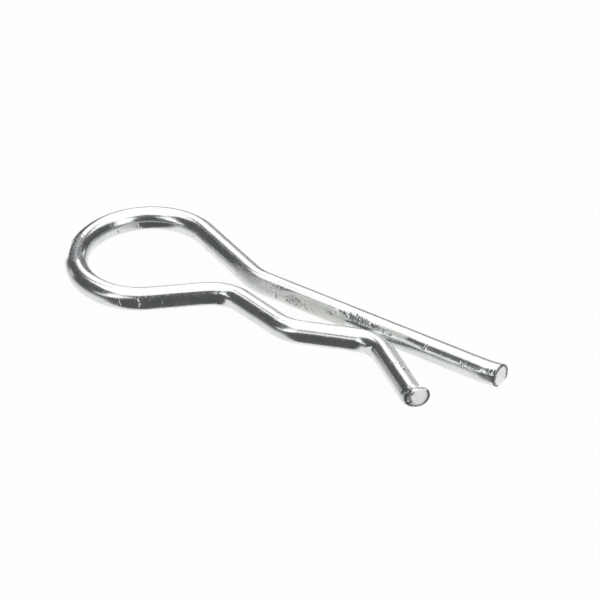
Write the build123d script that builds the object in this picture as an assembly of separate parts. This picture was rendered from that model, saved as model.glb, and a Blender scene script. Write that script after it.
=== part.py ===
import os
from collections import namedtuple
from math import asin, atan2, degrees

from build123d import *

# A hairpin cotter: one length of round spring wire, bent flat into a straight leg,
# an eye and a waved leg that springs towards the straight one.
# It lies on its side. The origin is under the middle of its outline, X runs along
# the straight leg to its tip, and the waved leg is on the -Y side.

# Wire and outline
wire_diameter = 2.4
overall_length = 50.3
eye_diameter = 12.0
leg_offset = 3.05

# Gaps between the two legs: at the throat, where the shaft sits, and at the nip
throat_gap = 1.25
shaft_gap = 2.65
nip_gap = 0.06

# Bend radii, at the middle of the wire
shoulder_radius = 6.8
throat_radius = 4.9
seat_radius = 5.1
nip_radius = 4.0

# Straight runs and spacing along the legs
shoulder_run = 8.8
eye_run = 5.4
throat_to_seat = 7.3
seat_to_nip = 8.5
flare_run = 8.1
flare_angle = 32.8

# Nicks from the forming tool's corner, inside the throat and nip bends:
# their depth, how much of the bend each one flattens, and where along the bend it ends
throat_nick_depth = 0.28
throat_flat_angle = 20.0
throat_crease_heading = 0.0
nip_nick_depth = 0.28
nip_flat_angle = 24.0
nip_crease_heading = -14.0

# Sheared ends: the blade pushed each one to the wire's left, rolled its rim
# and left a small facet where the cut broke away
shear_length = 0.8
shear_shift = 0.3
rim_radius = 0.12
facet_tilt = 38.0
facet_chord_share = 0.66
straight_facet_roll = -85.0
flare_facet_roll = 85.0

# Where the middle of the wire lies, derived from the sizes above
wire_radius = wire_diameter / 2
eye_radius = eye_diameter / 2 + wire_radius
tip_x = overall_length / 2
eye_x = eye_radius + wire_radius - overall_length / 2
throat_y = leg_offset - wire_diameter - throat_gap
seat_y = leg_offset - wire_diameter - shaft_gap
nip_y = leg_offset - wire_diameter - nip_gap

# A bend about an upright forming post, taken along the wire from the straight tip
Bend = namedtuple("Bend", "centre radius turn")
left = 1
right = -1


def at(x, y):
    return Vector(x, y, wire_radius)


def towards(heading):
    return Vector(1, 0, 0).rotate(Axis.Z, heading)


def spacing_x(radii, run, rise):
    """Distance along X between two bends of opposite hand with a straight run between them."""
    return (run**2 + sum(radii) ** 2 - rise**2) ** 0.5


def bend_posts():
    """The shoulder, eye, throat, shaft seat and nip, in order along the wire."""
    shoulder_y = leg_offset + shoulder_radius
    throat_post_y = throat_y - throat_radius
    shoulder_x = eye_x + spacing_x((shoulder_radius, eye_radius), shoulder_run, shoulder_y)
    throat_x = eye_x + spacing_x((eye_radius, throat_radius), eye_run, throat_post_y)
    seat_x = throat_x + throat_to_seat
    nip_x = seat_x + seat_to_nip
    return [
        Bend(at(shoulder_x, shoulder_y), shoulder_radius, right),
        Bend(at(eye_x, 0), eye_radius, left),
        Bend(at(throat_x, throat_post_y), throat_radius, right),
        Bend(at(seat_x, seat_y + seat_radius), seat_radius, left),
        Bend(at(nip_x, nip_y - nip_radius), nip_radius, right),
    ]


def run_heading(first, second):
    """Direction of the straight run that leaves one bend and enters the next."""
    span = second.centre - first.centre
    offset = second.turn * second.radius - first.turn * first.radius
    return degrees(atan2(span.Y, span.X) - asin(offset / span.length))


def run_headings(bends):
    between = [run_heading(first, second) for first, second in zip(bends, bends[1:])]
    return [180.0, *between, -flare_angle]


def on_bend(bend, heading):
    """Point in the middle of the wire, on a bend, where the wire points along the heading."""
    return bend.centre - towards(heading + 90) * (bend.turn * bend.radius)


def wire_axis(bends, headings):
    """Straight runs joined by tangent arcs, between the two sheared ends."""
    start = at(tip_x - shear_length, leg_offset)
    stretches = []
    for bend, heading_in, heading_out in zip(bends, headings, headings[1:]):
        stretches.append(Line(start, on_bend(bend, heading_in)))
        start_angle = heading_in - 90 * bend.turn
        turned = bend.turn * ((bend.turn * (heading_out - heading_in)) % 360)
        stretches.append(CenterArc(bend.centre, bend.radius, start_angle, turned))
        start = on_bend(bend, heading_out)
    flare = towards(headings[-1]) * (flare_run - shear_length)
    stretches.append(Line(start, start + flare))
    return Wire([stretch.edge() for stretch in stretches])


def sheared_end(base, heading, facet_roll):
    """Last stretch of the wire, from a round base to a face that the blade pushed aside."""
    outward = towards(heading)
    across = towards(heading + 90)
    lean = outward * shear_length + across * shear_shift
    round_base = Plane(base, x_dir=across, z_dir=outward) * Circle(wire_radius)
    end = extrude(round_base, amount=lean.length, dir=lean)
    face = Plane(base + lean, x_dir=across, z_dir=outward)
    rim = end.faces().sort_by_distance(face.origin)[0].edges()
    end = fillet(rim, rim_radius)
    chord = Rot(0, 0, facet_roll) * Pos(facet_chord_share * wire_radius, 0, 0)
    waste = Box(
        wire_diameter,
        2 * wire_diameter,
        wire_diameter,
        align=(Align.MIN, Align.CENTER, Align.MIN),
    )
    return end - face * chord * Rot(0, facet_tilt, 0) * waste


def nick_tool(bend, heading, flat_angle, depth):
    """Block with one corner on the crease of a nick and the opposite one on the bend's post.

    It cuts a flat along the inside of a right-hand bend, up to a small step at the crease.
    """
    inner_radius = bend.radius - wire_radius
    crease = bend.centre + towards(heading + 90) * (inner_radius + depth)
    flat_start = bend.centre + towards(heading + 90 + flat_angle) * inner_radius
    corner = Plane(crease, x_dir=flat_start - crease, z_dir=(0, 0, 1))
    reach = corner.to_local_coords(bend.centre)
    return corner * Box(
        reach.X,
        reach.Y,
        2 * wire_diameter,
        align=(Align.MIN, Align.MIN, Align.CENTER),
    )


def hairpin_cotter():
    bends = bend_posts()
    headings = run_headings(bends)
    axis = wire_axis(bends, headings)
    section = Plane(axis @ 0, z_dir=axis % 0) * Circle(wire_radius)
    wire = sweep(section, path=axis)
    wire += sheared_end(axis @ 0, headings[0] - 180, straight_facet_roll)
    wire += sheared_end(axis @ 1, headings[-1], flare_facet_roll)
    throat, nip = bends[2], bends[4]
    wire -= nick_tool(throat, throat_crease_heading, throat_flat_angle, throat_nick_depth)
    wire -= nick_tool(nip, nip_crease_heading, nip_flat_angle, nip_nick_depth)
    return wire


os.makedirs("parts", exist_ok=True)
export_step(hairpin_cotter(), "parts/hairpin_cotter.step")
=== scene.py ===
from math import asin, atan2, cos, degrees, exp, hypot, pi, radians, sin

import bmesh
import bpy
from mathutils import Matrix, Quaternion, Vector, noise


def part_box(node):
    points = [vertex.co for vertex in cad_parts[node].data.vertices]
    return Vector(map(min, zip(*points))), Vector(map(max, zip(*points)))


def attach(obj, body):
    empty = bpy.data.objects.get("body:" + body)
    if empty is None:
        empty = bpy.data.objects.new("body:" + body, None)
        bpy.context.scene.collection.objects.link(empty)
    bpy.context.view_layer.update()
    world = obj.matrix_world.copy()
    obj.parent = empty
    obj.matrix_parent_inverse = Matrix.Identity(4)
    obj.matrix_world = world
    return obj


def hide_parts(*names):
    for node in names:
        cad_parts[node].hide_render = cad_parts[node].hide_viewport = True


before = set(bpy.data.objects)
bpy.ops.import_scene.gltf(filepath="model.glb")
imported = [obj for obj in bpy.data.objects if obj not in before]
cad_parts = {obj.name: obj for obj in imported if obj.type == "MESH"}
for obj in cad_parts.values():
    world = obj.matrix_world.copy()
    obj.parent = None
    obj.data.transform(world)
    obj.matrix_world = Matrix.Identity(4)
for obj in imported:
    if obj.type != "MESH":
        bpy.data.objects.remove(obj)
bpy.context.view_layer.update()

mm = 0.001
scene = bpy.context.scene

# The wire, in millimetres and degrees. Its thickness, length and eye come from the frame.
wire = {
    "node": "hairpin_cotter",
    "slot": "plated_wire",
    "body": "root",
    "legOffset": 3.05,
    "throatGap": 1.25,
    "shaftGap": 2.65,
    "nipGap": 0.06,
    "shoulderRadius": 6.8,
    "throatRadius": 4.9,
    "seatRadius": 5.1,
    "nipRadius": 4.0,
    "shoulderRun": 8.8,
    "eyeRun": 5.4,
    "throatToSeat": 7.3,
    "seatToNip": 8.5,
    "flareRun": 8.1,
    "flareAngle": 32.8,
    "sides": 80,
    "ringStep": 0.17,
    "mergeDistance": 0.002,
    "sharpAngle": 32,
}
cadLow, cadHigh = (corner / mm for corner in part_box(wire["node"]))
wireRadius = (cadHigh.z - cadLow.z) / 2
tipX = cadHigh.x
eyeRadius = (cadHigh.y - cadLow.y) / 2 - wireRadius
eyeX = cadLow.x + wireRadius + eyeRadius


def towards(heading):
    return Vector((cos(radians(heading)), sin(radians(heading)), 0))


def makePosts(w):
    # each bend turns round an upright post: its place, its radius,
    # and the way it turns the wire, 1 to the left and -1 to the right
    throatY = w["legOffset"] - 2 * wireRadius - w["throatGap"] - w["throatRadius"]
    seatY = w["legOffset"] - 2 * wireRadius - w["shaftGap"] + w["seatRadius"]
    nipY = w["legOffset"] - 2 * wireRadius - w["nipGap"] - w["nipRadius"]
    shoulderY = w["legOffset"] + w["shoulderRadius"]
    shoulderReach = w["shoulderRun"] ** 2 + (w["shoulderRadius"] + eyeRadius) ** 2 - shoulderY ** 2
    throatReach = w["eyeRun"] ** 2 + (eyeRadius + w["throatRadius"]) ** 2 - throatY ** 2
    throatX = eyeX + throatReach ** 0.5
    seatX = throatX + w["throatToSeat"]
    return [
        (Vector((eyeX + shoulderReach ** 0.5, shoulderY, 0)), w["shoulderRadius"], -1),
        (Vector((eyeX, 0, 0)), eyeRadius, 1),
        (Vector((throatX, throatY, 0)), w["throatRadius"], -1),
        (Vector((seatX, seatY, 0)), w["seatRadius"], 1),
        (Vector((seatX + w["seatToNip"], nipY, 0)), w["nipRadius"], -1),
    ]


def runHeadings(posts):
    # the straight runs are common tangents of neighbouring posts
    headings = [180.0]
    for (post, radius, way), (nextPost, nextRadius, nextWay) in zip(posts, posts[1:]):
        span = nextPost - post
        lean = asin((nextWay * nextRadius - way * radius) / span.length)
        headings.append(degrees(atan2(span.y, span.x) - lean))
    return headings + [-wire["flareAngle"]]


def onPost(post, heading):
    centre, radius, way = post
    return centre - towards(heading + 90) * (way * radius)


def bendPlan(posts, headings):
    # where along the wire each bend starts, its radius and the angle it turns
    plan, reached = [], 0.0
    here = Vector((tipX, wire["legOffset"], 0))
    for post, headIn, headOut in zip(posts, headings, headings[1:]):
        radius, way = post[1:]
        reached += (onPost(post, headIn) - here).length
        turn = radians(way * (way * (headOut - headIn) % 360))
        plan.append((reached, radius, turn))
        reached += radius * abs(turn)
        here = onPost(post, headOut)
    return plan, reached + wire["flareRun"]


posts = makePosts(wire)
headings = runHeadings(posts)
bends, wireLength = bendPlan(posts, headings)
print("wire route:", round(wireLength, 2), "mm, headings", [round(h, 1) for h in headings])

# The cut ends: pushed aside by the shear, with a rolled rim and a broken facet
ends = {
    # how far from the end the shear bent the wire, how far it pushed it aside, and how suddenly
    "straightShear": (1.9, 0.26, 1.4),
    "flareShear": (0.8, 0.36, 1.5),
    # the flare's end is also spread, over this length and by this share
    "spreadReach": 0.55,
    "spreadWidth": 0.09,
    "rimRadius": 0.16,
    "rimSteps": 5,
    "faceRings": 16,
    "faceSlack": 0.001,  # how near the end a point is on the face
    # ridges torn across the face: height, cells to the millimetre, and how close to the rim they run
    "tearHeight": 0.014,
    "tearSpread": (0.0, 0.9, 6.0),
    "tearFade": 6,
    # degrees round to the burr and its height, then to the rolled edge and its depth
    "straightTip": (-55, 0.15, 100, 0.08),
    "flareTip": (70, 0.05, -105, 0.22),
    # shares of the radius between which the face rises to the burr, and where the rolled edge begins
    "burrFade": (0.7, 0.87),
    "rollFrom": 0.5,
    "rollReach": 0.7,
    "rollTear": 0.7,  # how ragged it is
    "rollTearSpread": (0.0, 2.0, 5.0),
    # a step across the flare's face: height, offset from the middle, slant in degrees and half width
    "fold": (0.10, 0.42, 10, 0.09),
    # the rim of each cut face is painted darker, a ring of the dark grainy finish: how far in it reaches,
    # as shares of the face: least, more on the straight tip, where most
    "darkRimReach": (0.03, 0.15, -80),
    "darkRimShare": 0.85,
    "facetTilt": 38.0,
    "facetChordShare": 0.66,
    "straightFacetRoll": -85.0,
    "flareFacetRoll": 85.0,
}


def closeEnd(bm, edges, outward):
    # roll the rim over, then draw the face in to its middle
    rim, radius = ends["rimRadius"], wireRadius
    faceRadius = wireRadius - rim
    profile = []
    for k in range(1, ends["rimSteps"] + 1):
        angle = k / ends["rimSteps"] * pi / 2
        profile.append((faceRadius + rim * cos(angle), rim * sin(angle)))
    for k in range(1, ends["faceRings"]):
        profile.append((faceRadius * (1 - k / ends["faceRings"]), rim))
    forward = 0.0
    for newRadius, newForward in profile:
        made = bmesh.ops.extrude_edge_only(bm, edges=edges)["geom"]
        ring = [g for g in made if isinstance(g, bmesh.types.BMVert)]
        edges = [g for g in made if isinstance(g, bmesh.types.BMEdge)]
        edges = [e for e in edges if all(v in ring for v in e.verts)]
        share = newRadius / radius
        bmesh.ops.scale(bm, vec=(1, share, share), verts=ring)
        bmesh.ops.translate(bm, vec=(outward * (newForward - forward), 0, 0), verts=ring)
        radius, forward = newRadius, newForward
    middle = Vector((ring[0].co.x, 0, 0))
    bmesh.ops.pointmerge(bm, verts=ring, merge_co=middle)


def straightRod():
    # the wire before bending: x along it from the straight tip, y to its left, z up
    bm = bmesh.new()
    rim = ends["rimRadius"]
    length = wireLength - 2 * rim
    bmesh.ops.create_cone(bm, cap_ends=False, segments=wire["sides"], radius1=wireRadius,
                          radius2=wireRadius, depth=length)
    bmesh.ops.rotate(bm, matrix=Matrix.Rotation(pi / 2, 3, "Y"), verts=bm.verts)
    bmesh.ops.translate(bm, vec=(wireLength / 2, 0, 0), verts=bm.verts)
    longEdges = [e for e in bm.edges if abs(e.verts[0].co.x - e.verts[1].co.x) > length / 2]
    cuts = round(length / wire["ringStep"]) - 1
    bmesh.ops.subdivide_edges(bm, edges=longEdges, cuts=cuts, use_grid_fill=True)
    for outward in (-1, 1):
        edge = wireLength / 2 + outward * length / 2
        rimEdges = [e for e in bm.edges if e.is_boundary and abs(e.verts[0].co.x - edge) < rim]
        closeEnd(bm, rimEdges, outward)
    return bm


def bendRod(bm, along):
    # last bend first: what lies beyond a bend turns with it as one piece
    for start, radius, turn in reversed(bends):
        post = Vector((start, radius if turn > 0 else -radius, 0))
        arc = radius * abs(turn)
        for v in bm.verts:
            used = min(v[along] - start, arc)
            if used > 0:
                spin = Matrix.Rotation(turn * used / arc, 3, "Z")
                v.co = post + spin @ (v.co - Vector((used, 0, 0)) - post)


def shearEnds(bm, along):
    for v in bm.verts:
        fromFlare = wireLength - v[along]
        if fromFlare < ends["spreadReach"]:
            # the blade also spread the flare's end, up and away from the wire's right side
            spread = ends["spreadWidth"] * (1 - fromFlare / ends["spreadReach"]) ** 2
            v.co.y += spread * (wireRadius + v.co.y)
            v.co.z += spread * max(0, v.co.z)
        for name, fromEnd, aside in (("straightShear", v[along], -1), ("flareShear", fromFlare, 1)):
            length, shift, curve = ends[name]
            if fromEnd < length:
                v.co.y += aside * shift * (1 - fromEnd / length) ** curve


def breakFacet(bm, outward, roll):
    # a slanting cut across the edge of an end's face,
    # where outward is -1 at the straight tip and 1 at the flare
    left = outward * cos(radians(roll))
    rimWay = Vector((0, left, sin(radians(roll))))
    tipAlong = wireLength if outward > 0 else 0.0
    shift = ends["straightShear" if outward < 0 else "flareShear"][1]
    faceMiddle = Vector((tipAlong, outward * shift, 0))
    chord = faceMiddle + rimWay * (ends["facetChordShare"] * wireRadius)
    tilt = radians(ends["facetTilt"])
    cutWay = Vector((outward, 0, 0)) * cos(tilt) + rimWay * sin(tilt)
    near = [v for v in bm.verts if abs(v.co.x - tipAlong) < 2 * wireRadius]
    faces = list({f for v in near for f in v.link_faces})
    edges = list({e for f in faces for e in f.edges})
    verts = list({v for f in faces for v in f.verts})
    bmesh.ops.bisect_plane(bm, geom=verts + edges + faces, plane_co=chord, plane_no=cutWay,
                           clear_outer=True)
    facet = bmesh.ops.holes_fill(bm, edges=[e for e in bm.edges if e.is_boundary], sides=0)["faces"]
    for face in facet:
        # its loop starts at the same corner on every run, so that it is always split alike
        face.normal_update()
        corners = list(face.verts)
        if face.normal.dot(cutWay) < 0:
            corners.reverse()
        first = corners.index(max(corners, key=lambda v: abs(v.co.z)))
        bm.faces.remove(face)
        bm.faces.new(corners[first:] + corners[:first])


def rollOf(place):
    # degrees round the wire, from its top towards its left
    return degrees(atan2(place.y, place.z))


def apart(roll, other):
    return (roll - other + 180) % 360 - 180


def smoothed(value, low, high):
    share = min(1, max(0, (value - low) / (high - low)))
    return share * share * (3 - 2 * share)


def uneven(spread, place):
    # noise with its own number of cells to the millimetre along and across the wire
    return noise.noise(Vector(spread) * place)


def onSide(place):
    return ends["rimRadius"] <= place.x <= wireLength - ends["rimRadius"]


def drawIn(v, share):
    # towards the wire's axis, or away from it
    v.co.y *= share
    v.co.z *= share


def tearEnds(bm):
    # the shear left a burr on one edge, rolled another over and tore ridges across the face
    for v in bm.verts:
        outward = -1 if v.co.x < wireLength / 2 else 1
        fromEnd = v.co.x if outward < 0 else wireLength - v.co.x
        if fromEnd < ends["rollReach"]:
            tip = ends["straightTip" if outward < 0 else "flareTip"]
            burrRoll, burrHeight, rolledRoll, rolledDepth = tip
            roll, out = rollOf(v.co), hypot(v.co.y, v.co.z) / wireRadius
            ragged = 1 + ends["rollTear"] * uneven(ends["rollTearSpread"], v.co)
            rolled = max(0, cos(radians(roll - rolledRoll))) * smoothed(out, ends["rollFrom"], 1) * ragged
            inwards = rolledDepth * rolled * (1 - fromEnd / ends["rollReach"])
            if fromEnd < ends["faceSlack"]:
                burr = max(0, cos(radians(roll - burrRoll))) ** 0.5 * (1 - smoothed(out, *ends["burrFade"]))
                fade = 1 - out ** ends["tearFade"]
                tear = uneven(ends["tearSpread"], v.co) * fade
                inwards += burrHeight * burr * out ** 0.5 + ends["tearHeight"] * tear
                if outward > 0:
                    height, offset, slant, width = ends["fold"]
                    above = v.co.z * cos(radians(slant)) - v.co.y * sin(radians(slant)) - offset
                    inwards += height * (1 - smoothed(above, -width, width)) * fade
            v.co.x -= outward * inwards


# What the corner of the forming tool left inside two bends, on the wire's right:
# a dent in the throat, by millimetres along the wire, and a flat in the nip, by the wire's heading
rightSide = -90
throatDent = {
    "start": 77.5,
    "deepest": 78.75,
    "lip": 79.85,
    "depth": 0.12,
    "halfWidth": 86,
    "streakHeight": 0.022,
    "streakSpread": (0.45, 4.4, 4.4),
    "finerMargin": 0.1,
}
nipFlat = {
    "post": 4,
    "heading": 3.0,
    "lipHeading": -22.0,
    "step": 0.1,
    "streakHeight": 0.008,
    "streakSpread": (1.5, 1.0, 6.0),
    "finerMargin": 0.2,
    "finerWidth": 50,
}


def pressThroat(bm, dent):
    for v in bm.verts:
        aside = abs(apart(rollOf(v.co), rightSide)) / dent["halfWidth"]
        if dent["start"] < v.co.x < dent["lip"] and aside < 1:
            edge = dent["start"] if v.co.x < dent["deepest"] else dent["lip"]
            near = 1 - ((v.co.x - dent["deepest"]) / (edge - dent["deepest"])) ** 2
            deep = dent["depth"] + dent["streakHeight"] * uneven(dent["streakSpread"], v.co)
            drawIn(v, 1 - deep * near * cos(aside * pi / 2) ** 2 / wireRadius)


def nipReach(flat):
    # the bend's inner radius, then where along the wire the flat starts and where its lip is
    start, radius = bends[flat["post"]][:2]
    headIn = headings[flat["post"]]
    begin, lip = (start + radius * radians(headIn - h) for h in (flat["heading"], flat["lipHeading"]))
    return radius - wireRadius, begin, lip


def cutNip(bm, flat):
    # the flat touches the inside of the bend at its own heading, and runs straight in up to the lip
    inner, begin, lip = nipReach(flat)
    turned = radians(flat["heading"] - flat["lipHeading"])
    for v in bm.verts:
        if begin < v.co.x < lip + flat["step"]:
            share = min(1, (v.co.x - begin) / (lip - begin))
            deep = inner / cos(share * turned) - inner
            deep *= 1 - max(0, v.co.x - lip) / flat["step"]
            if v.co.y < deep - wireRadius:
                streak = flat["streakHeight"] * uneven(flat["streakSpread"], v.co)
                v.co.y = deep - wireRadius + min(streak, deep)


# Wear. Places are millimetres along the wire and degrees round it, from the top towards the wire's left
wear = {
    "waveHeight": 0.006,
    "waveSpread": (0.7, 0.8, 0.8),
    "scratches": [
        # along, first and last degree round, half width, depth, lean, bow
        (67.55, -98, -60, 0.065, 0.04, -0.12, 0.04),
        (69.25, -110, -44, 0.09, 0.05, -0.04, 0.2),
        (71.5, -92, -62, 0.06, 0.02, 0.0, 0.14),
        (8.45, 24, 84, 0.07, 0.03, 0.1, 0.0),
        (4.0, 38, 74, 0.06, 0.022, -0.1, 0.0),
        (26.6, 60, 108, 0.09, 0.06, -0.1, 0.0),
        (40.4, 66, 112, 0.08, 0.04, 0.2, 0.1),
        (48.3, 84, 118, 0.08, 0.04, 0.05, 0.0),
        (51.1, 86, 120, 0.08, 0.04, -0.05, 0.0),
    ],
    "scratchReach": 1.0,
    "pits": [
        # along, degrees round, radius, depth
        (31.85, 88, 0.14, 0.05),
        (51.5, 136, 0.14, 0.05),
        (101.4, 6, 0.11, 0.04),
        (102.3, 15, 0.13, 0.05),
        (0.45, 44, 0.24, 0.07),
        (24.35, 74, 0.22, 0.08),
        (25.2, 84, 0.16, 0.06),
        (20.0, 62, 0.16, 0.06),
        (19.4, 54, 0.14, 0.06),
    ],
    "pitReach": 4.0,
    "rubbed": [
        # along, degrees round, half length, half width in degrees, depth
        (11.8, 70, 3.4, 44, 0.10),
    ],
    "chipped": [
        # along, degrees round, half length, half width in degrees, depth
        (16.6, 38, 2.3, 24, 0.10),
        (25.0, 78, 1.2, 16, 0.08),
    ],
    "chipSkew": (0.7, 0.4),
    "chipSpread": 2.6,
    "chipOctaves": 3,
    "chipEdge": 2,
    "chipLevel": 0.5,
    # how far past a mark the finer mesh goes: in half widths, radii, millimetres and degrees
    "scratchMargin": 2,
    "pitMargin": 2.4,
    "endMargin": 0.1,
    "rollMargin": 4,
    "refinements": 2,
}


def wearZones():
    # along, degrees round, half length, half width in degrees of what needs a finer mesh
    zones = []
    for along, first, last, width, _, lean, bow in wear["scratches"]:
        length = abs(lean) + bow + wear["scratchMargin"] * width
        zones.append((along, (first + last) / 2, length, (last - first) / 2 + wear["rollMargin"]))
    for along, roll, radius, _ in wear["pits"]:
        reach = wear["pitMargin"] * radius
        zones.append((along, roll, reach, degrees(reach / wireRadius)))
    for along, roll, length, width, _ in wear["chipped"]:
        zones.append((along, roll, length + wear["endMargin"], width + wear["rollMargin"]))
    toolMarks = [
        (throatDent["start"], throatDent["lip"], throatDent["finerMargin"], throatDent["halfWidth"]),
        (*nipReach(nipFlat)[1:], nipFlat["finerMargin"], nipFlat["finerWidth"]),
    ]
    for start, lip, margin, width in toolMarks:
        zones.append(((start + lip) / 2, rightSide, (lip - start) / 2 + margin, width))
    return zones


def refine(bm, zones):
    # quarter the faces there and put the new points back on the round
    chosen = []
    for face in bm.faces:
        middle = face.calc_center_median()
        for along, roll, length, width in zones:
            if abs(middle.x - along) < length and abs(apart(rollOf(middle), roll)) < width:
                chosen.append(face)
                break
    edges = list({e for f in chosen for e in f.edges})
    bmesh.ops.subdivide_edges(bm, edges=edges, cuts=1, use_grid_fill=True)
    for v in bm.verts:
        if onSide(v.co):
            drawIn(v, wireRadius / hypot(v.co.y, v.co.z))


def gouge(offset):
    # a groove or pit with raised lips, by the distance from its middle in half widths
    return (1 - offset ** 2) * exp(-offset ** 2 / 2)


def wearDepth(place):
    along, roll = place.x, rollOf(place)
    depth = wear["waveHeight"] * uneven(wear["waveSpread"], place)
    for start, first, last, width, deep, lean, bow in wear["scratches"]:
        across = (roll - (first + last) / 2) / ((last - first) / 2)
        if abs(along - start) < wear["scratchReach"] and abs(across) < 1:
            line = start + lean * across + bow * (1 - across ** 2)
            depth += deep * (1 - across ** 2) * gouge((along - line) / width)
    for middle, middleRoll, radius, deep in wear["pits"]:
        offset = hypot(along - middle, wireRadius * radians(apart(roll, middleRoll))) / radius
        if offset < wear["pitReach"]:
            depth += deep * gouge(offset)
    for middle, middleRoll, length, width, deep in wear["rubbed"]:
        offset = hypot((along - middle) / length, apart(roll, middleRoll) / width)
        if offset < 1:
            depth += deep * (1 - offset ** 2) ** 2
    for middle, middleRoll, length, width, deep in wear["chipped"]:
        offset = hypot((along - middle) / length, apart(roll, middleRoll) / width)
        if offset < 1:
            aside, up = wear["chipSkew"]
            skewed = Vector((place.x + aside * place.y, place.y - place.x, place.z + up * place.x))
            chip = noise.turbulence(skewed * wear["chipSpread"], wear["chipOctaves"], True)
            depth += deep * min(1, wear["chipEdge"] * (1 - offset)) * (chip - wear["chipLevel"])
    return depth


def wearSurface(bm):
    for v in bm.verts:
        if onSide(v.co):
            drawIn(v, 1 - wearDepth(v.co) / wireRadius)


# Where the plate isn't bright: satin, dark and grainy, or bare where the ends were cut
finishes = {
    "satin": [
        # along, degrees round, half length, half width in degrees, strength, softness of its edge
        (22.2, 80, 4.5, 48, 1.0, 0.12),
        (29.4, 76, 6.0, 74, 1.0, 0.9),
        (49.6, 88, 1.4, 16, 1.0, 0.2),
        (12.4, 36, 2.4, 18, 0.8, 0.5),
    ],
    "grainy": [
        (57.9, -1, 3.3, 39, 1.0, 0.7),
        (61.2, 26, 2.6, 20, 0.9, 0.4),
        (16.6, 42, 2.3, 24, 0.62, 0.7),
        (24.2, 78, 2.0, 34, 0.46, 0.6),
        (20.0, 66, 1.0, 14, 0.42, 0.6),
        (22.4, 92, 1.4, 18, 0.38, 0.6),
        (2.4, 58, 2.6, 26, 0.36, 0.6),
        (0.5, 66, 1.0, 40, 0.46, 0.5),
        (13.4, 50, 2.2, 20, 0.4, 0.6),
    ],
    "squareness": 4,
}


def patchShare(patches, along, roll):
    # 1 well inside the strongest patch, 0 outside them all
    share, power = 0.0, finishes["squareness"]
    for middle, middleRoll, length, width, strength, softness in patches:
        offset = ((along - middle) / length) ** power + (apart(roll, middleRoll) / width) ** power
        share = max(share, strength * smoothed(1 - offset ** (1 / power), 0, softness))
    return share


def finishOf(place):
    # how satin, how grainy and whether on a cut face, whose rim is painted darker
    roll = rollOf(place)
    fromEnd, out = min(place.x, wireLength - place.x), hypot(place.y, place.z)
    reach, more, where = ends["darkRimReach"]
    if place.x < wireLength / 2:
        reach += more * max(0, cos(radians(roll - where))) ** 2
    onFace = fromEnd < ends["faceSlack"] and out < (1 - reach) * (wireRadius - ends["rimRadius"])
    onRim = fromEnd < ends["rimRadius"] and not onFace
    satin = patchShare(finishes["satin"], place.x, roll)
    # the rim round each cut face takes this share of the dark grainy finish, a darker ring
    grainy = ends["darkRimShare"] if onRim else patchShare(finishes["grainy"], place.x, roll)
    return Vector((satin, grainy, 1.0 if onFace else 0.0))


def makeWire():
    bm = straightRod()
    zones = wearZones()
    for _ in range(wear["refinements"]):
        refine(bm, zones)
    along = bm.verts.layers.float.new("along")
    rodPlace = bm.verts.layers.float_vector.new("rodPlace")
    finish = bm.verts.layers.float_vector.new("finish")
    for v in bm.verts:
        v[along] = v.co.x
        v[rodPlace] = v.co
        v[finish] = finishOf(v.co)
    wearSurface(bm)
    pressThroat(bm, throatDent)
    cutNip(bm, nipFlat)
    tearEnds(bm)
    shearEnds(bm, along)
    breakFacet(bm, -1, ends["straightFacetRoll"])
    breakFacet(bm, 1, ends["flareFacetRoll"])
    bendRod(bm, along)
    bmesh.ops.rotate(bm, matrix=Matrix.Rotation(pi, 3, "Z"), verts=bm.verts)
    bmesh.ops.translate(bm, vec=(tipX, wire["legOffset"], wireRadius), verts=bm.verts)
    bmesh.ops.remove_doubles(bm, verts=bm.verts, dist=wire["mergeDistance"])
    bmesh.ops.recalc_face_normals(bm, faces=bm.faces)
    bmesh.ops.scale(bm, vec=(mm, mm, mm), verts=bm.verts)
    for face in bm.faces:
        face.smooth = True
    mesh = bpy.data.meshes.new("bentWire")
    bm.to_mesh(mesh)
    bm.free()
    mesh.set_sharp_from_angle(angle=radians(wire["sharpAngle"]))
    piece = bpy.data.objects.new("bentWire", mesh)
    scene.collection.objects.link(piece)
    return piece


def feed(tree, socket, value):
    # link an output to a socket, or set a fixed value on it
    if isinstance(value, bpy.types.NodeSocket):
        tree.links.new(value, socket)
    else:
        socket.default_value = value


def mapped(tree, value, fromLow, fromHigh, toLow=0.0, toHigh=1.0):
    # a smooth step between two values
    step = tree.nodes.new("ShaderNodeMapRange")
    step.interpolation_type = "SMOOTHSTEP"
    step.inputs["From Min"].default_value = fromLow
    step.inputs["From Max"].default_value = fromHigh
    step.inputs["To Min"].default_value = toLow
    step.inputs["To Max"].default_value = toHigh
    tree.links.new(value, step.inputs["Value"])
    return step.outputs["Result"]


def blended(tree, factor, first, second, kind="RGBA"):
    mix = tree.nodes.new("ShaderNodeMix")
    mix.data_type = kind
    tree.links.new(factor, mix.inputs["Factor"])
    feed(tree, mix.inputs["A"], first)
    feed(tree, mix.inputs["B"], second)
    return mix.outputs["Result"]


def graded(tree, factor, first, second):
    # a number between two others
    return blended(tree, factor, first, second, "FLOAT")


def worked(tree, operation, *values):
    step = tree.nodes.new("ShaderNodeMath")
    step.operation = operation
    for socket, value in zip(step.inputs, values):
        feed(tree, socket, value)
    return step.outputs[0]


def added(tree, value, times, more):
    # value x times + more
    return worked(tree, "MULTIPLY_ADD", value, times, more)


def workedVector(tree, operation, vector, other=(0, 0, 0)):
    step = tree.nodes.new("ShaderNodeVectorMath")
    step.operation = operation
    step.inputs[1].default_value = other
    tree.links.new(vector, step.inputs[0])
    return step.outputs


def separated(tree, vector):
    parts = tree.nodes.new("ShaderNodeSeparateXYZ")
    tree.links.new(vector, parts.inputs[0])
    return parts.outputs


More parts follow.
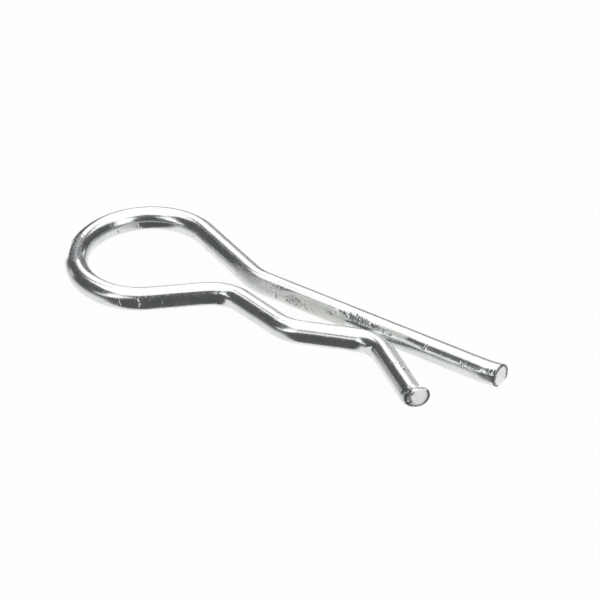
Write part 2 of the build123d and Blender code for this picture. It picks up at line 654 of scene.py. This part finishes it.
def grain(tree, place, spread, detail):
    # noise with its own number of cells to the millimetre along and across the wire
    texture = tree.nodes.new("ShaderNodeTexNoise")
    texture.inputs["Scale"].default_value = 1.0
    texture.inputs["Detail"].default_value = detail
    tree.links.new(workedVector(tree, "MULTIPLY", place, spread)["Vector"], texture.inputs["Vector"])
    return texture.outputs["Fac"]


def broken(tree, field, texture, share, low, high):
    # a field whose edge a texture breaks up
    centred = added(tree, field, 1.0, -share / 2)
    return mapped(tree, added(tree, texture, share, centred), low, high)


# Bright zinc plate over drawn wire
plate = {
    "bright": (0.77, 0.78, 0.78, 1),
    "shade": (0.69, 0.71, 0.71, 1),
    "shadeFade": (0.4, 0.62),
    # the satin's tints, which drift along the wire: greenish, warm, then grey
    "satin": [
        (0.42, (0.89, 0.91, 0.86, 1)),
        (0.51, (0.92, 0.90, 0.86, 1)),
        (0.60, (0.91, 0.92, 0.92, 1)),
    ],
    "tintDrift": 0.4,
    "tintAlong": 0.03,
    "tintStart": -0.42,
    "grainyDark": (0.20, 0.21, 0.22, 1),
    "grainyPale": (0.46, 0.47, 0.48, 1),
    "grainyFade": (0.36, 0.64),
    "cut": (0.88, 0.86, 0.85, 1),
    # cells to the millimetre, and detail
    "drawnLines": ((0.4, 4.5, 4.5), 2.0),
    "speckle": ((4.4, 5.2, 5.2), 1.0),
    "drift": ((0.5, 0.6, 0.6), 3.0),
    # how much the texture breaks an edge up, and between which values it runs
    "satinEdge": (0.5, 0.15, 0.85),
    "grainyEdge": (1.6, 0.35, 0.65),
    "spotEdge": (0.5, 0.5, 0.72),
    "brightRoughness": (0.18, 0.29),
    "satinRoughness": (0.46, 0.62),
    "grainyRoughness": (0.42, 0.60),
    "cutRoughness": 0.38,
    # the speckle's height beside the drawn lines', and how much more of it the patches have
    "speckleRelief": 0.4,
    "satinRelief": 0.8,
    "grainyRelief": 1.4,
    "bumpDistance": 0.0025,
}


def zincPlate():
    material = bpy.data.materials.new("brightZincPlate")
    material.use_nodes = True
    tree = material.node_tree
    shader = tree.nodes["Principled BSDF"]
    shader.inputs["Metallic"].default_value = 1.0
    rod = tree.nodes.new("ShaderNodeAttribute")
    rod.attribute_name = "rodPlace"
    place = rod.outputs["Vector"]
    finish = tree.nodes.new("ShaderNodeAttribute")
    finish.attribute_name = "finish"
    fields = separated(tree, finish.outputs["Vector"])
    lines = grain(tree, place, *plate["drawnLines"])
    speckle = grain(tree, place, *plate["speckle"])
    drift = grain(tree, place, *plate["drift"])

    # patches break up along their edges
    satin = broken(tree, fields["X"], speckle, *plate["satinEdge"])
    grainy = broken(tree, fields["Y"], speckle, *plate["grainyEdge"])
    cut = fields["Z"]

    haze = tree.nodes.new("ShaderNodeValToRGB")
    haze.color_ramp.elements.new(0.5)
    for stop, (at, colour) in zip(haze.color_ramp.elements, plate["satin"]):
        stop.position = at
        stop.color = colour
    tint = added(tree, drift, plate["tintDrift"], plate["tintStart"])
    tint = added(tree, separated(tree, place)["X"], plate["tintAlong"], tint)
    tree.links.new(tint, haze.inputs["Fac"])
    colour = blended(tree, mapped(tree, drift, *plate["shadeFade"]), plate["bright"], plate["shade"])
    colour = blended(tree, satin, colour, haze.outputs["Color"])
    pale = mapped(tree, speckle, *plate["grainyFade"])
    colour = blended(tree, grainy, colour, blended(tree, pale, plate["grainyDark"], plate["grainyPale"]))
    colour = blended(tree, cut, colour, plate["cut"])
    tree.links.new(colour, shader.inputs["Base Color"])

    spots = broken(tree, speckle, lines, *plate["spotEdge"])
    roughness = graded(tree, spots, *plate["brightRoughness"])
    roughness = graded(tree, satin, roughness, graded(tree, speckle, *plate["satinRoughness"]))
    roughness = graded(tree, grainy, roughness, graded(tree, speckle, *plate["grainyRoughness"]))
    roughness = graded(tree, cut, roughness, plate["cutRoughness"])
    tree.links.new(roughness, shader.inputs["Roughness"])

    relief = added(tree, speckle, plate["speckleRelief"], lines)
    patchRelief = added(tree, grainy, plate["grainyRelief"], 0.0)
    patchRelief = added(tree, satin, plate["satinRelief"], patchRelief)
    relief = added(tree, patchRelief, speckle, relief)
    bump = tree.nodes.new("ShaderNodeBump")
    bump.inputs["Distance"].default_value = plate["bumpDistance"] * mm
    tree.links.new(relief, bump.inputs["Height"])
    tree.links.new(bump.outputs["Normal"], shader.inputs["Normal"])
    return material


bentWire = makeWire()
bentWire.data.materials.append(zincPlate())
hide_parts(wire["node"])
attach(bentWire, wire["body"])
print("bent wire:", len(bentWire.data.polygons), "faces")

# The camera: which way it looks, in degrees, how far off and how near and far it sees, in millimetres
view = {
    "azimuth": -38.007,
    "elevation": 35.942,
    "roll": -2.903,
    "target": (0.93, 2.694, 1.2),
    "distance": 420.0,
    "lens": 248.82,
    "sensor": 36.0,
    "clip": (10.0, 20000.0),
}


def aimedAlong(azimuth, elevation):
    turn, flat = radians(azimuth), cos(radians(elevation))
    return Vector((sin(turn) * flat, cos(turn) * flat, -sin(radians(elevation))))


def setUp(name, data, location, look, turned):
    # a camera or lamp that looks one way and is turned about it
    stand = bpy.data.objects.new(name, data)
    stand.location = location
    stand.rotation_mode = "QUATERNION"
    stand.rotation_quaternion = look.to_track_quat("-Z", "Y") @ Quaternion((0, 0, 1), radians(turned))
    scene.collection.objects.link(stand)
    return stand


def addCamera():
    data = bpy.data.cameras.new("photoView")
    data.lens = view["lens"]
    data.sensor_width = view["sensor"]
    data.clip_start, data.clip_end = (reach * mm for reach in view["clip"])
    look = aimedAlong(view["azimuth"], view["elevation"])
    location = (Vector(view["target"]) - look * view["distance"]) * mm
    scene.camera = setUp("photoView", data, location, look, view["roll"])


addCamera()
print("camera placed")

# The studio, in metres and degrees. Directions are seen from the object, azimuth 0 being straight behind it
studio = {
    "floorSize": 6.0,
    "floorColour": (0.9, 0.9, 0.9, 1),
    "floorWhite": 0.97,
    "roomColour": (0.105, 0.108, 0.11, 1),
    "white": (1, 1, 1, 1),
    # elevations between which the mirrored ground turns white
    "groundFade": (4.0, -30.0),
    # which way it stays dim, and between which angles from there
    "darkSide": -163.0,
    "darkSideFade": (50.0, 30.0),
    "boxDistance": 0.8,
    "boxes": [
        # name, azimuth, elevation, width, height, degrees turned, radiance
        ("topBox", 24.0, 83.5, 1.05, 0.92, 24.0, 1.4),
        ("backStrip", -1.0, 31.0, 0.27, 0.77, 0.0, 1.3),
        ("frontRightBox", 140.0, 33.0, 0.45, 0.66, 0.0, 1.35),
        ("frontLeftBox", -126.0, 38.0, 0.20, 0.44, 0.0, 1.1),
        ("slantCard", -135.0, 34.0, 0.50, 0.20, 45.0, 1.1),
        ("leftCard", -115.0, 15.5, 0.25, 0.18, 0.0, 1.0),
        ("lowLeftCard", -31.0, -6.0, 0.20, 0.30, 0.0, 1.3),
        ("lowRightCard", 20.0, 11.0, 0.26, 0.30, 0.0, 0.48),
        ("rightCard", 35.0, 1.0, 0.17, 0.29, 0.0, 1.35),
        ("highStrip", -2.5, 43.0, 0.47, 0.12, 0.0, 1.0),
        ("backCard", 15.0, 26.0, 0.13, 0.16, 0.0, 0.8),
        ("dimLeftCard", -60.0, 2.0, 0.16, 0.26, 0.0, 0.5),
    ],
}


def addSoftBoxes():
    for name, azimuth, elevation, width, height, turned, radiance in studio["boxes"]:
        lamp = bpy.data.lights.new(name, "AREA")
        lamp.shape = "RECTANGLE"
        lamp.size = width
        lamp.size_y = height
        lamp.energy = radiance * pi * width * height
        look = -aimedAlong(view["azimuth"] + azimuth, -elevation)
        setUp(name, lamp, -look * studio["boxDistance"], look, turned)


def addRoom():
    # white to the camera, while the wire mirrors a dim room over a white ground,
    # which is dim too on the side where the camera stands
    world = bpy.data.worlds.new("studioRoom")
    scene.world = world
    world.use_nodes = True
    tree = world.node_tree
    tree.nodes.clear()
    outwards = tree.nodes.new("ShaderNodeTexCoord").outputs["Generated"]
    low, high = (sin(radians(e)) for e in studio["groundFade"])
    ground = mapped(tree, separated(tree, outwards)["Z"], low, high)
    level = workedVector(tree, "MULTIPLY", outwards, (1, 1, 0))["Vector"]
    compass = workedVector(tree, "NORMALIZE", level)["Vector"]
    darkWay = aimedAlong(view["azimuth"] + studio["darkSide"], 0)
    facing = workedVector(tree, "DOT_PRODUCT", compass, darkWay)["Value"]
    low, high = (cos(radians(a)) for a in studio["darkSideFade"])
    pale = mapped(tree, facing, low, high, 1.0, 0.0)
    rays = tree.nodes.new("ShaderNodeLightPath").outputs
    mirrored = worked(tree, "MAXIMUM", rays["Is Glossy Ray"], rays["Is Transmission Ray"])
    whiteGround = worked(tree, "MULTIPLY", ground, pale)
    whiteShare = added(tree, mirrored, whiteGround, rays["Is Camera Ray"])
    room = tree.nodes.new("ShaderNodeBackground")
    seen = blended(tree, whiteShare, studio["roomColour"], studio["white"])
    tree.links.new(seen, room.inputs["Color"])
    out = tree.nodes.new("ShaderNodeOutputWorld")
    tree.links.new(room.outputs[0], out.inputs["Surface"])


def addFloor():
    bm = bmesh.new()
    bmesh.ops.create_grid(bm, x_segments=1, y_segments=1, size=studio["floorSize"] / 2)
    mesh = bpy.data.meshes.new("paleFloor")
    bm.to_mesh(mesh)
    bm.free()
    floor = bpy.data.objects.new("paleFloor", mesh)
    floor.visible_glossy = False  # the wire mirrors the room's ground instead
    scene.collection.objects.link(floor)
    material = bpy.data.materials.new("paleFloor")
    material.use_nodes = True
    tree = material.node_tree
    tree.nodes.clear()
    paint = tree.nodes.new("ShaderNodeBsdfDiffuse")
    paint.inputs["Color"].default_value = studio["floorColour"]
    glow = tree.nodes.new("ShaderNodeEmission")
    glow.inputs["Color"].default_value = studio["white"]
    toCamera = tree.nodes.new("ShaderNodeLightPath").outputs["Is Camera Ray"]
    mix = tree.nodes.new("ShaderNodeMixShader")
    tree.links.new(worked(tree, "MULTIPLY", toCamera, studio["floorWhite"]), mix.inputs["Fac"])
    tree.links.new(paint.outputs[0], mix.inputs[1])
    tree.links.new(glow.outputs[0], mix.inputs[2])
    out = tree.nodes.new("ShaderNodeOutputMaterial")
    tree.links.new(mix.outputs[0], out.inputs["Surface"])
    floor.data.materials.append(material)


addSoftBoxes()
addRoom()
addFloor()
scene.view_settings.view_transform = "Standard"
print("studio lit")
